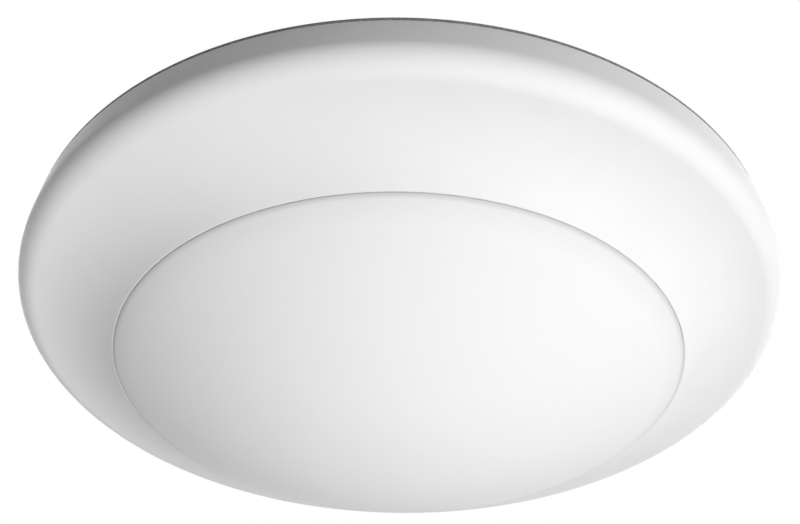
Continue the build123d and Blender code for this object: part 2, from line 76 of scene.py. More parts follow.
LED_WINDOW = 0.1875  # how deep an LED's window is sunk, as a share of its height
LED_WINDOW_REACH = 2e-5  # how far from that depth a face still counts as the window


def length(name, default, description):
    """A size in metres that a user can change."""
    return FloatProperty(name=name, description=description, default=default, unit="LENGTH", precision=5)


def angle(name, degrees, description):
    """An angle that a user can change."""
    return FloatProperty(name=name, description=description, default=radians(degrees), subtype="ANGLE")


def number_of(name, default, description, least=1):
    """A count that a user can change."""
    return IntProperty(name=name, description=description, default=default, min=least)


def colour(name, default, description):
    """A finish's colour."""
    return FloatVectorProperty(
        name=name, description=description, default=default, size=3, min=0, max=1, subtype="COLOR"
    )


def power(name, default, description):
    """A lamp's power."""
    return FloatProperty(name=name, description=description, default=default, subtype="POWER")


def share(name, default, description):
    """A level between nothing and all."""
    return FloatProperty(name=name, description=description, default=default, min=0, max=1, subtype="FACTOR")


class TrimSizes(bpy.types.PropertyGroup):
    """The coved trim's section, and the ribs and bosses behind it."""

    radius: length("Radius", 0.09525, "Largest outside radius, at the rounded edge")
    draft: length("Draft", 0.00035, "How much the rim wall narrows towards the ceiling")
    edge_depth: length("Edge depth", 0.0009, "Ceiling to the rim's edge")
    rim_height: length("Rim height", 0.0076, "Ceiling to the start of the rounded edge")
    rim_round: length("Rim rounding", 0.0056, "Radius of the rounded edge")
    cove_slope: angle("Cove slope", 6.0, "How steeply the cove leaves the rounded edge")
    wall: length("Wall", 0.0022, "Thickness of the shell")
    opening: length("Opening", 0.07025, "Radius of the opening for the lens")
    seam_depth: length("Seam depth", 0.0218, "Ceiling to the lens seam")
    seam_break: length("Seam break", 0.00015, "Rounding of both edges along the lens seam")
    ledge_depth: length("Ledge depth", 0.0179, "Ceiling to the ledge that carries the lens")
    ledge_width: length("Ledge width", 0.0026, "Radial width of that ledge")
    locator_depth: length("Locator depth", 0.0153, "Ceiling to the top of the wall round the ledge")
    locator_wall: length("Locator wall", 0.0016, "Thickness of the wall round the ledge")
    edge_break: length("Edge break", 0.0004, "Rounding of the ceiling edge")
    rib_count: number_of("Ribs", 12, "Ribs behind the cove")
    rib_thickness: length("Rib thickness", 0.0014, "Thickness of a rib")
    rib_depth: length("Rib depth", 0.0105, "Ceiling to the top of the ribs")
    boss_radius: length("Boss radius", 0.0035, "Outside radius of a boss for the back pan's screws")
    boss_depth: length("Boss depth", 0.004, "Ceiling to the top of the bosses")
    boss_foot: length("Boss foot", 0.013, "Ceiling to the foot of the bosses, inside the shell's wall")
    pilot_length: length("Pilot length", 0.006, "Depth of the hole in a boss")


class LensSizes(bpy.types.PropertyGroup):
    """The opal dome's section."""

    radius: length("Radius", 0.0702, "Outside radius at the seam")
    rise: length("Rise", 0.0198, "Seam to the bottom of the dome")
    wall: length("Wall", 0.002, "Thickness of the dome")
    flange_radius: length("Flange radius", 0.07265, "Outside radius of the hidden flange")


class SealSizes(bpy.types.PropertyGroup):
    """The foam ring on the ceiling, the lens seal, the rubber grommet and the heat pad."""

    foam_inner: length("Foam inside", 0.089475, "Inside radius of the foam ring")
    foam_outer: length("Foam outside", 0.0948, "Outside radius of the foam ring's lip")
    foam_step: length("Foam step", 0.0925, "Radius at which the foam steps over the trim's edge")
    foam_round: length("Foam rounding", 0.0002, "Rounding of the foam's cut edges")
    lens_inner: length("Lens seal inside", 0.07065, "Inside radius of the silicone ring")
    lens_outer: length("Lens seal outside", 0.07225, "Outside radius of the silicone ring")
    lens_top: length("Lens seal top", 0.0171, "Ceiling to the top of the silicone ring")
    lens_round: length("Lens seal rounding", 0.0003, "Rounding of the silicone ring")
    bore: length("Grommet bore", 0.0032, "Radius of the grommet's hole")
    neck: length("Grommet neck", 0.0045, "Radius of the grommet where it passes through the can")
    flange: length("Grommet flange", 0.0065, "Radius of the grommet's two lips")
    lip: length("Grommet lip", 0.0016, "Thickness of one lip")
    lip_round: length("Grommet rounding", 0.0007, "Rounding of the lips")
    pad_inner: length("Pad inside", 0.0065, "Inside radius of the heat pad")
    pad_outer: length("Pad outside", 0.034, "Outside radius of the heat pad")
    pad_thickness: length("Pad thickness", 0.0005, "Thickness of the heat pad under the back pan")
    pad_round: length("Pad rounding", 0.00015, "Rounding of the heat pad's edges")


class PanSizes(bpy.types.PropertyGroup):
    """The pressed back pan and its keyholes."""

    sheet: length("Sheet", 0.0015, "Thickness of the sheet")
    bend: length("Bend", 0.0015, "Bend radius at the pressed corners")
    radius: length("Radius", 0.09225, "Outside radius of the flange")
    flange_depth: length("Flange depth", 0.0025, "Ceiling to the flange")
    floor_depth: length("Floor depth", 0.0065, "Ceiling to the pan's floor")
    recess_radius: length("Recess", 0.078, "Radius at the foot of the recess wall")
    recess_draft: length("Recess draft", 0.0015, "How far the recess wall slopes")
    centre_hole: length("Centre hole", 0.0051, "Radius of the hole for the leads' bush")
    slot_width: length("Keyhole slot", 0.0056, "Width of a keyhole's slot")
    keyhole_radius: length("Keyhole end", 0.0052, "Radius of a keyhole's round end")


class CanSizes(bpy.types.PropertyGroup):
    """The drawn can over the driver."""

    sheet: length("Sheet", 0.001, "Thickness of the sheet")
    bend: length("Bend", 0.0015, "Outside radius of the drawn corners")
    radius: length("Radius", 0.033, "Outside radius of the can")
    height: length("Height", 0.019, "Ceiling up to the can's roof")
    flange_radius: length("Flange radius", 0.0411, "Outside radius of the flange")
    grommet_offset: length("Grommet offset", 0.019, "Middle of the can to the grommet")


class BracketSizes(bpy.types.PropertyGroup):
    """The bracket on the box, the studs that the light hangs on and the earth screw."""

    sheet: length("Sheet", 0.0015, "Thickness of the sheet")
    bend: length("Bend", 0.001, "Inside bend radius of the rim")
    radius: length("Radius", 0.063, "Outside radius")
    hole: length("Hole", 0.0345, "Radius of the hole for the driver can")
    rim: length("Rim", 0.004, "Ceiling to the edge of the turned-down rim")
    box_spacing: length("Box screws", 0.0889, "Distance between the box's two screws")
    slot_length: length("Slot length", 0.009, "Length of a box screw's slot")
    slot_width: length("Slot width", 0.005, "Width of a box screw's slot")
    stud_count: number_of("Studs", 3, "Studs that the light hangs on")
    stud_angle: angle("First stud", 30.0, "Where the first stud is")
    stud_circle: length("Stud circle", 0.057, "Radius of the circle that the studs are on")
    twist: angle("Twist", 20.0, "How far the light turns from locked to free")
    tenon: length("Tenon", 0.0016, "Radius of a stud's riveted end")
    rivet_dimple: length("Rivet dimple", 0.0003, "Depth of the punch mark in the riveted end")
    shank: length("Shank", 0.0025, "Radius of a stud's shank")
    seat_depth: length("Seat depth", 0.0083, "Ceiling to the seat under the stud's head")
    head: length("Head", 0.0045, "Radius of a stud's head")
    head_depth: length("Head depth", 0.01, "Ceiling to the bottom of a stud's head")
    head_round: length("Head rounding", 0.0007, "Rounding of a stud's head")
    earth_circle: length("Earth screw", 0.05, "Middle of the bracket to the earth screw")
    earth_radius: length("Earth screw radius", 0.0021, "Outside radius of its thread")
    earth_head: length("Earth head", 0.004, "Middle of the hexagon head to its corners")
    earth_head_height: length("Earth head height", 0.0026, "Height of the hexagon head")
    earth_length: length("Earth length", 0.008, "Length of the earth screw under its head")
    earth_pitch: length("Earth pitch", 0.0008, "Pitch of the earth screw's thread")
    earth_slot: length("Earth slot", 0.0012, "Width of the slot in its head")
    earth_slot_depth: length("Earth slot depth", 0.0009, "Depth of that slot")


class ScrewSizes(bpy.types.PropertyGroup):
    """The cross-recessed screws and the plain holes for them."""

    radius: length("Radius", 0.0015, "Outside radius of the thread")
    thread: length("Thread", 0.0003, "Depth of the thread")
    pitch: length("Pitch", 0.0006, "Pitch of the thread")
    head: length("Head", 0.0028, "Radius of the head")
    head_height: length("Head height", 0.0019, "Height of the head")
    head_round: length("Head rounding", 0.0011, "Rounding of the head's top")
    recess: length("Recess", 0.0026, "Length of the cross's arms")
    recess_width: length("Recess width", 0.00065, "Width of the cross's arms")
    recess_depth: length("Recess depth", 0.001, "Depth of the cross")
    plain_hole: length("Plain hole", 0.0017, "Radius of a hole that a screw passes through")


class FinishColours(bpy.types.PropertyGroup):
    """The colours of the surfaces that show."""

    paint: colour("Paint", (0.835, 0.835, 0.83), "Powder coat of the trim")
    opal: colour("Opal", (0.92, 0.92, 0.915), "The lens")
    foam: colour("Foam", (0.2, 0.2, 0.205), "The gasket against the ceiling")
    rubber: colour("Rubber", (0.02, 0.02, 0.021), "The grommet")
    silicone: colour("Silicone", (0.6, 0.6, 0.59), "The seal under the lens")
    pad: colour("Pad", (0.36, 0.38, 0.41), "The pad behind the LED board")
    aluminium: colour("Aluminium", (0.48, 0.485, 0.49), "The pressed back pan")
    zinc: colour("Zinc", (0.42, 0.43, 0.44), "The bracket, can and fasteners")
    earth: colour("Earth", (0.045, 0.22, 0.085), "The earth screw")
    floor: colour("Floor", (0.9, 0.9, 0.9), "The studio floor")


class StageSettings(bpy.types.PropertyGroup):
    """The view and the light."""

    distance: length("Distance", 0.2379, "Camera to the middle of the ceiling plane")
    elevation: angle("Elevation", 36.65, "How far the camera is below the ceiling")
    pitch: angle("Pitch", 3.75, "How far the view tips up")
    roll: angle("Roll", 0.87, "How far the picture leans clockwise")
    lens: FloatProperty(
        name="Lens", description="Focal length on a 36 mm sensor", default=39.69, unit="CAMERA"
    )
    key_power: power("Key", 7.0, "Soft light from the right")
    under_power: power("Under", 7.95, "Soft light from below")
    front_power: power("Front", 1.9, "Soft light on the rim wall")
    left_power: power("Left", 1.4, "Soft light from below on the left")
    lamp_size: length("Lamp size", 0.9, "Width of a soft light in front")
    side_power: power("Side", 9.5, "Wide soft light on the left of the back")
    rear_power: power("Rear", 10.0, "Wide soft light on the right of the back")
    wide_size: length("Wide lamp size", 2.0, "Width of a soft light behind")
    lamp_distance: length("Lamp distance", 1.2, "Light to the object")
    fill: share("Fill", 0.01, "Even light from all round")
    floor_depth: length("Floor depth", 1.6, "Ceiling to the floor")
    floor_radius: length("Floor radius", 1.3, "Radius of the floor")
    floor_glow: share("Floor glow", 0.95, "Light that only the camera and reflections see")


class DiskLight(bpy.types.PropertyGroup):
    """All that a user can change on the light."""

    trim: PointerProperty(type=TrimSizes)
    lens: PointerProperty(type=LensSizes)
    seals: PointerProperty(type=SealSizes)
    pan: PointerProperty(type=PanSizes)
    can: PointerProperty(type=CanSizes)
    bracket: PointerProperty(type=BracketSizes)
    screws: PointerProperty(type=ScrewSizes)
    colours: PointerProperty(type=FinishColours)
    stage: PointerProperty(type=StageSettings)
    sheet_edge: length("Sheet edge", 0.0002, "Rounding of the cut edges of sheet metal")
    clearance: length("Clearance", 0.00005, "Gap round a piece in the hole that it is fitted in")
    round_steps: number_of("Steps round", 288, "Segments round the large turned pieces", 24)
    small_steps: number_of("Small steps", 48, "Segments round studs, screws and holes", 12)


def start_fresh():
    """Leave edit mode and deselect everything before a piece is begun."""
    if bpy.context.mode != "OBJECT":
        bpy.ops.object.mode_set(mode="OBJECT")
    bpy.ops.object.select_all(action="DESELECT")


def take_up(piece):
    """Make one piece the only selected and active one."""
    start_fresh()
    piece.select_set(True)
    bpy.context.view_layer.objects.active = piece


def settle(piece):
    """Put a piece's place, turn and scale into its mesh."""
    take_up(piece)
    bpy.ops.object.transform_apply(location=True, rotation=True, scale=True)
    return piece


def set_down(piece, place, turn=0.0):
    """Move a piece from the origin to its place, turned about Z."""
    piece.location = place
    piece.rotation_euler = (0, 0, turn)
    return settle(piece)


def close_and_smooth(piece):
    """Merge doubles, close the poles, turn the faces outwards and shade the smooth stretches."""
    take_up(piece)
    bpy.ops.object.mode_set(mode="EDIT")
    bpy.ops.mesh.select_all(action="SELECT")
    bpy.ops.mesh.remove_doubles(threshold=MERGE_DISTANCE)
    bpy.ops.mesh.select_all(action="SELECT")
    bpy.ops.mesh.fill_holes(sides=0)
    bpy.ops.mesh.select_all(action="SELECT")
    bpy.ops.mesh.normals_make_consistent(inside=False)
    bpy.ops.object.mode_set(mode="OBJECT")
    bpy.ops.object.shade_smooth_by_angle(angle=SMOOTH_ANGLE)
    return piece


def combine(piece, operation, *tools):
    """Cut, join or trim a piece with tool pieces, one after another; the tools are used up."""
    take_up(piece)
    for tool in tools:
        change = piece.modifiers.new("combine", "BOOLEAN")
        change.operation = operation
        change.solver = "MANIFOLD"
        change.object = tool
        bpy.ops.object.modifier_apply(modifier=change.name)
        bpy.data.objects.remove(tool)
        if not piece.data.polygons:
            raise RuntimeError(f"nothing is left of {piece.name}")
    bpy.ops.object.shade_smooth_by_angle(angle=SMOOTH_ANGLE)
    return piece


def gather(pieces):
    """Make several pieces one."""
    take_up(pieces[0])
    for piece in pieces[1:]:
        piece.select_set(True)
    bpy.ops.object.join()
    return pieces[0]


def ring_places(radius, count, first=0.0):
    """Places evenly round the axis, each with its own turn."""
    places = []
    for number in range(count):
        turn = first + number * 2 * pi / count
        places.append((radius * cos(turn), radius * sin(turn), turn))
    return places


def arc_points(centre, radius, start, turn, steps):
    """Points along an arc in the section plane, both ends included."""
    points = []
    for number in range(steps + 1):
        at = start + turn * number / steps
        points.append((centre[0] + radius * cos(at), centre[1] + radius * sin(at)))
    return points


def rounded_corner(before, corner, after, rounding):
    """The arc that takes a section round a corner."""
    heading = atan2(corner[1] - before[1], corner[0] - before[0])
    next_heading = atan2(after[1] - corner[1], after[0] - corner[0])
    turn = (next_heading - heading + pi) % (2 * pi) - pi
    hand = copysign(1, turn)
    reach = rounding * tan(abs(turn) / 2)
    start = (corner[0] - reach * cos(heading), corner[1] - reach * sin(heading))
    centre = (start[0] - hand * rounding * sin(heading), start[1] + hand * rounding * cos(heading))
    return arc_points(centre, rounding, heading - hand * pi / 2, turn, CORNER_STEPS)


def section_through(*corners, closed=True):
    """A section through corners of (radius, height, rounding); an open one begins and ends at the axis."""
    points = []
    for number, (radius, height, rounding) in enumerate(corners):
        if rounding:
            after = corners[(number + 1) % len(corners)]
            points += rounded_corner(corners[number - 1], (radius, height), after, rounding)
        else:
            points.append((radius, height))
    if closed:
        points.append(points[0])
    return points


def turn_piece(name, section, steps):
    """Turn a section about Z: a ring is extruded and resized from point to point, as on a lathe."""
    start_fresh()
    radius, height = section[0]
    bpy.ops.mesh.primitive_circle_add(vertices=steps, radius=radius, location=(0, 0, height))
    piece = bpy.context.object
    piece.name = name
    piece.data.name = name
    settle(piece)
    bpy.ops.object.mode_set(mode="EDIT")
    bpy.ops.mesh.select_all(action="SELECT")
    for new_radius, new_height in section[1:]:
        bpy.ops.mesh.extrude_edges_move(TRANSFORM_OT_translate={"value": (0, 0, new_height - height)})
        scale = new_radius / radius
        bpy.ops.transform.resize(value=(scale, scale, 1), center_override=(0, 0, new_height))
        radius, height = new_radius, new_height
    return close_and_smooth(piece)


def pegs(places, radius, low, high, steps):
    """Round cutters or posts between two heights, one at each place."""
    tools = []
    for x, y, *_ in places:
        start_fresh()
        middle = (x, y, (low + high) / 2)
        bpy.ops.mesh.primitive_cylinder_add(vertices=steps, radius=radius, depth=high - low, location=middle)
        tools.append(settle(bpy.context.object))
    return tools


def block(size, middle, turn=0.0):
    """A square cutter, turned about Z round the axis after it is placed."""
    start_fresh()
    bpy.ops.mesh.primitive_cube_add(size=1, location=middle)
    tool = bpy.context.object
    tool.scale = size
    settle(tool)
    return set_down(tool, (0, 0, 0), turn)


def arc_slot(radius, width, low, high, first, sweep, steps):
    """A cutter that follows an arc round the axis: an upright rectangle, spun back from the arc's end."""
    start_fresh()
    bpy.ops.mesh.primitive_plane_add(size=1, rotation=(pi / 2, 0, 0))
    tool = bpy.context.object
    tool.scale = (width, high - low, 1)
    settle(tool)
    set_down(tool, (radius, 0, (low + high) / 2))
    set_down(tool, (0, 0, 0), first + sweep)
    bpy.ops.object.mode_set(mode="EDIT")
    bpy.ops.mesh.select_all(action="SELECT")
    bpy.ops.mesh.spin(steps=steps, angle=sweep, center=(0, 0, 0), axis=(0, 0, 1))
    return close_and_smooth(tool)


def copy_to(piece, name, places):
    """Copies of a piece at each place, each with its own mesh; the first one is used up."""
    copies = []
    for number, (x, y, turn) in enumerate(places, 1):
        take_up(piece)
        bpy.ops.object.duplicate(linked=False)
        copy = bpy.context.object
        copy.name = f"{name}_{number}"
        copy.data.name = copy.name
        copies.append(set_down(copy, (x, y, 0), turn))
    bpy.data.objects.remove(piece)
    return copies


def dress(piece, finish, node, body):
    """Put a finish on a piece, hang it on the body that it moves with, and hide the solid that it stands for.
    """
    finish.on(piece)
    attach(piece, body)
    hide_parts(node)


class ScrewRow(NamedTuple):
    """A circle of like screws: the solid they stand for, their places in degrees and their length."""

    node: str
    circle: float
    count: int
    first: float
    depth: float
    shank: float
    upside_down: bool = False

    def places(self):
        """Where the screws are."""
        return ring_places(self.circle, self.count, radians(self.first))


TRIM_SCREWS = ScrewRow("trim_screws", circle=0.085875, count=4, first=45, depth=0.0025, shank=0.0073)
CAN_SCREWS = ScrewRow("can_screws", circle=0.0375, count=3, first=90, depth=0.0055, shank=0.0023)
BOARD_SCREWS = ScrewRow(
    "board_screws", circle=0.0215, count=3, first=90, depth=0.0101, shank=0.0038, upside_down=True
)
DRIVER_SCREWS = ScrewRow("driver_screws", circle=0.0255, count=3, first=30, depth=-0.0006, shank=0.0063)


class TrimLine:
    """The lines that the trim's section is made of: the rim's arc, the cove's arc and what is behind them."""

    def __init__(self, size):
        wall_height = size.rim_height - size.edge_depth
        self.lean = asin(size.draft / hypot(size.draft, wall_height))
        self.rim_centre = (size.radius - size.rim_round, -size.rim_height - size.rim_round * sin(self.lean))
        foot_radius = self.rim_centre[0] + size.rim_round * cos(self.lean)
        self.top = (foot_radius - size.draft, -size.edge_depth)
        self.rim_turn = size.cove_slope - pi / 2 - self.lean
        self.rim = arc_points(self.rim_centre, size.rim_round, self.lean, self.rim_turn, RIM_STEPS)
        start = self.rim[-1]
        self.seam = (size.opening, -size.seam_depth)
        run = (self.seam[0] - start[0], self.seam[1] - start[1])
        below = (sin(size.cove_slope), -cos(size.cove_slope))
        drop = run[0] * below[0] + run[1] * below[1]
        self.cove_radius = (run[0] ** 2 + run[1] ** 2) / (2 * drop)
        self.cove_centre = (start[0] + self.cove_radius * below[0], start[1] + self.cove_radius * below[1])
        self.cove_start = atan2(start[1] - self.cove_centre[1], start[0] - self.cove_centre[0])
        self.cove_end = atan2(self.seam[1] - self.cove_centre[1], self.seam[0] - self.cove_centre[0])
        self.ledge_radius = size.opening + size.ledge_width
        self.rib_foot = self.ledge_radius + size.locator_wall / 2

    def behind_cove(self, depth, inner_radius):
        """The arc a given depth behind the cove's face, from an inner radius out to the rim."""
        radius = self.cove_radius + depth
        run = inner_radius - self.cove_centre[0]
        first = atan2(sqrt(radius**2 - run**2), run)
        return arc_points(self.cove_centre, radius, first, self.cove_start - first, BACK_COVE_STEPS)

    def behind_rim(self, radius, end):
        """An arc inside the rounded edge, from the cove up to an end angle."""
        start = self.lean + self.rim_turn
        return arc_points(self.rim_centre, radius, start, end - start, BACK_RIM_STEPS)


def trim_section(size):
    """The trim's section, from the ceiling edge over the rim, down the cove, and back behind it."""
    line = TrimLine(size)
    edge = size.edge_break
    top = line.top
    top_edge = arc_points((top[0] - edge, top[1] - edge), edge, pi / 2, -pi / 2, CORNER_STEPS)
    corner = pi - line.cove_end
    tip_reach = size.seam_break / tan(corner / 2)
    cove_turn = line.cove_end - tip_reach / line.cove_radius - line.cove_start
    tip_centre = (line.seam[0] + size.seam_break, line.seam[1] + tip_reach)
    locator_radius = line.ledge_radius + size.locator_wall
    return [
        *top_edge,
        *line.rim,
        *arc_points(line.cove_centre, line.cove_radius, line.cove_start, cove_turn, COVE_STEPS),
        *arc_points(tip_centre, size.seam_break, line.cove_end - pi, corner - pi, CORNER_STEPS),
        (size.opening, -size.ledge_depth),
        (line.ledge_radius, -size.ledge_depth),
        (line.ledge_radius, -size.locator_depth),
        (locator_radius, -size.locator_depth),
        *line.behind_cove(size.wall, locator_radius),
        *line.behind_rim(size.rim_round - size.wall, line.lean),
        (top[0] - size.wall, top[1]),
        top_edge[0],
    ]


def rib_room(size):
    """The section that the ribs fill: from the middle of the shell's wall up to the ribs' tops."""
    line = TrimLine(size)
    rim_radius = size.rim_round - size.wall / 2
    rim_top = asin((-size.rib_depth - line.rim_centre[1]) / rim_radius)
    first = (line.rib_foot, -size.rib_depth)
    return [
        first,
        *line.behind_cove(size.wall / 2, line.rib_foot),
        *line.behind_rim(rim_radius, rim_top),
        first,
    ]


def trim_stiffeners(size, steps, small_steps):
    """The ribs and bosses behind the trim's face, rooted in its wall."""
    foot = TrimLine(size).rib_foot
    run = size.radius - foot
    height = size.seam_depth - size.rib_depth
    middle = (foot + run / 2, 0, -size.rib_depth - height / 2)
    ribs = []
    for _, _, turn in ring_places(0, size.rib_count):
        ribs.append(block((run, size.rib_thickness, height), middle, turn))
    stiffeners = combine(gather(ribs), "INTERSECT", turn_piece("rib_room", rib_room(size), steps))
    bosses = pegs(TRIM_SCREWS.places(), size.boss_radius, -size.boss_foot, -size.boss_depth, small_steps)
    return gather([stiffeners, *bosses])


def lens_section(size, trim, flange_bottom):
    """The dome's section, from its outer pole over the rim to the flange and back to its inner pole."""
    seam = -trim.seam_depth
    edge = trim.seam_break
    dome = (size.radius**2 + size.rise**2) / (2 * size.rise)
    centre = (0.0, dome + seam - size.rise)
    half = asin(size.radius / dome)
    pole = POLE / dome
    rim_reach = edge * tan((pi / 2 - half) / 2)
    rim_centre = (size.radius - edge, rim_reach + seam)
    inner_radius = size.radius - size.wall
    inner_half = asin(inner_radius / (dome - size.wall))
    return [
        *arc_points(centre, dome, pole - pi / 2, half - pole - rim_reach / dome, DOME_STEPS),
        *arc_points(rim_centre, edge, half - pi / 2, pi / 2 - half, CORNER_STEPS),
        (size.radius, -flange_bottom),
        (size.flange_radius, -flange_bottom),
        (size.flange_radius, -trim.locator_depth),
        (inner_radius, -trim.locator_depth),
        *arc_points(centre, dome - size.wall, inner_half - pi / 2, pole - inner_half, DOME_INSIDE_STEPS),
    ]


def foam_section(size, lip, depth):
    """The foam ring's section, with its thin lip over the trim's edge."""
    soft = size.foam_round
    return section_through(
        (size.foam_inner, 0, soft),
        (size.foam_outer, 0, soft),
        (size.foam_outer, -lip, soft),
        (size.foam_step, -lip, 0),
        (size.foam_step, -depth, soft),
        (size.foam_inner, -depth, soft),
    )


def flat_ring_section(inner, outer, top, bottom, soft):
    """The section of a flat soft ring, such as the lens seal or the heat pad."""
    return section_through(
        (inner, -top, soft), (outer, -top, soft), (outer, -bottom, soft), (inner, -bottom, soft)
    )


def grommet_section(size, roof_low, roof_high):
    """The grommet's section: two soft lips with the can's roof between them."""
    low = roof_low - size.lip
    high = roof_high + size.lip
    soft = size.lip_round
    return section_through(
        (size.bore, low, soft / 2),
        (size.flange, low, soft),
        (size.flange, roof_low, 0),
        (size.neck, roof_low, 0),
        (size.neck, roof_high, 0),
        (size.flange, roof_high, 0),
        (size.flange, high, soft),
        (size.bore, high, soft / 2),
    )


def pan_section(size, edge):
    """The pressed pan's section: floor, sloping recess wall and flange, one sheet thick."""
    floor = -size.floor_depth
    flange = -size.flange_depth
    wall_turn = atan2(flange - floor, size.recess_draft)
    slip = size.sheet * tan(wall_turn / 2)
    shoulder = size.recess_radius + size.recess_draft
    return section_through(
        (size.centre_hole, floor, edge),
        (size.recess_radius, floor, size.bend),
        (shoulder, flange, size.bend),
        (size.radius, flange, edge),
        (size.radius, flange - size.sheet, edge),
        (shoulder + slip, flange - size.sheet, edge),
        (size.recess_radius + slip, floor - size.sheet, size.bend + size.sheet),
        (size.centre_hole, floor - size.sheet, edge),
    )


def can_section(size, seat, edge):
    """The drawn can's section: a flange on its seat, wall and roof, closed over the axis."""
    flange = seat + size.sheet
    inside = size.radius - size.sheet
    roof = size.height - size.sheet
    return section_through(
        (POLE, size.height, 0),
        (size.radius, size.height, size.bend),
        (size.radius, flange, size.bend),
        (size.flange_radius, flange, edge),
        (size.flange_radius, seat, edge),
        (inside, seat, size.bend + size.sheet),
        (inside, roof, size.bend - size.sheet),
        (POLE, roof, 0),
        closed=False,
    )


def bracket_section(size, edge):
    """The bracket's section: a flat ring with its rim turned down."""
    inside = size.radius - size.sheet
    return section_through(
        (size.hole, 0, edge),
        (size.radius, 0, size.bend + size.sheet),
        (size.radius, -size.rim, edge),
        (inside, -size.rim, edge),
        (inside, -size.sheet, size.bend),
        (size.hole, -size.sheet, edge),
    )


def stud_section(size):
    """A shouldered stud's section, from its riveted end down to its head."""
    return section_through(
        (POLE, -size.rivet_dimple, 0),
        (size.tenon / 2, -size.rivet_dimple, 0),
        (size.tenon, 0, 0),
        (size.tenon, -size.sheet, 0),
        (size.shank, -size.sheet, 0),
        (size.shank, -size.seat_depth, 0),
        (size.head, -size.seat_depth, size.head_round / 4),
        (size.head, -size.head_depth, size.head_round),
        (POLE, -size.head_depth, 0),
        closed=False,
    )


def thread_corners(radius, depth, pitch, high, low):
    """A thread's ridges along a shank, from a high end to a low end."""
    corners = []
    for number in range(max(1, int((high - low) / pitch))):
        for along, out in THREAD_RIDGE:
            corners.append((radius - depth * (1 - out), high - number * pitch - pitch * along, 0))
    return corners


def screw_section(size, shank_length):
    """A pan-head screw's section, from the top of its head down to its tip; its seat is at the origin."""
    tip = -shank_length
    taper = size.pitch
    root = size.radius - size.thread
    return section_through(
        (POLE, size.head_height, 0),
        (size.head, size.head_height, size.head_round),
        (size.head, 0, 0),
        (root, 0, 0),
        *thread_corners(size.radius, size.thread, size.pitch, 0, tip + taper),
        (root, tip + taper / 2, 0),
        (root * SCREW_POINT, tip, 0),
        (POLE, tip, 0),
        closed=False,
    )


def cross_cutters(size):
    """Two crossed bars that narrow to their lower edge, to cut a cross recess."""
    top = size.head_height
    bars = []
    for turn in (0, pi / 2):
        bar = block((size.recess, size.recess_width, 2 * size.recess_depth), (0, 0, top), turn)
        bpy.ops.object.mode_set(mode="EDIT")
        bpy.ops.mesh.select_mode(type="FACE")
        bpy.ops.mesh.select_all(action="DESELECT")
        bpy.ops.object.mode_set(mode="OBJECT")
        for face in bar.data.polygons:
            face.select = face.normal.z < -0.5
        bpy.ops.object.mode_set(mode="EDIT")
        floor = (0, 0, top - size.recess_depth)
        bpy.ops.transform.resize(value=RECESS_TAPER, center_override=floor)
        bpy.ops.object.mode_set(mode="OBJECT")
        bars.append(bar)
    return bars


def make_screw(row, size, steps):
    """One cross-recessed pan-head screw of a row, on the axis at the row's depth."""
    screw = turn_piece(row.node, screw_section(size, row.shank), steps)
    screw = combine(screw, "DIFFERENCE", *cross_cutters(size))
    if row.upside_down:
        screw.rotation_euler = (pi, 0, 0)
        settle(screw)
    return set_down(screw, (0, 0, -row.depth))


def make_earth_screw(size, steps):
    """The slotted hexagon screw, head under the bracket and thread up through it."""
    seat = -size.sheet
    low = seat - size.earth_head_height
    start_fresh()
    bpy.ops.mesh.primitive_cylinder_add(
        vertices=6, radius=size.earth_head, depth=size.earth_head_height, location=(0, 0, (seat + low) / 2)
    )
    head = settle(bpy.context.object)
    start, end, rise = (size.earth_head * part for part in HEX_CHAMFER)
    dish = section_through(
        (POLE, low, 0),
        (start, low, 0),
        (end, low + rise, 0),
        (end, seat + CUT_MARGIN, 0),
        (POLE, seat + CUT_MARGIN, 0),
        closed=False,
    )
    head = combine(head, "INTERSECT", turn_piece("head_dish", dish, steps))
    slot = (3 * size.earth_head, size.earth_slot, 2 * size.earth_slot_depth)
    head = combine(head, "DIFFERENCE", block(slot, (0, 0, low)))
    top = seat + size.earth_length
    depth = size.earth_pitch / 2
    root = size.earth_radius - depth
    shank = section_through(
        (POLE, top, 0),
        (root * EARTH_POINT, top, 0),
        (root, top - depth, 0),
        *thread_corners(size.earth_radius, depth, size.earth_pitch, top - depth, seat),
        (root, seat, 0),
        (root, seat - CUT_MARGIN, 0),
        (POLE, seat - CUT_MARGIN, 0),
        closed=False,
    )
    screw = combine(head, "UNION", turn_piece("earth_shank", shank, steps))
    screw.name = "earth_screw"
    screw.data.name = screw.name
    return set_down(screw, (0, size.earth_circle, 0))


def set_sockets(node, values):
    """Give a node's sockets values that hold all over."""
    for name, value in values.items():
        node.inputs[name.replace("_", " ")].default_value = value
    return node


def add_node(tree, kind, **values):
    """Add a shader node and give its sockets values."""
    return set_sockets(tree.nodes.new(f"ShaderNode{kind}"), values)


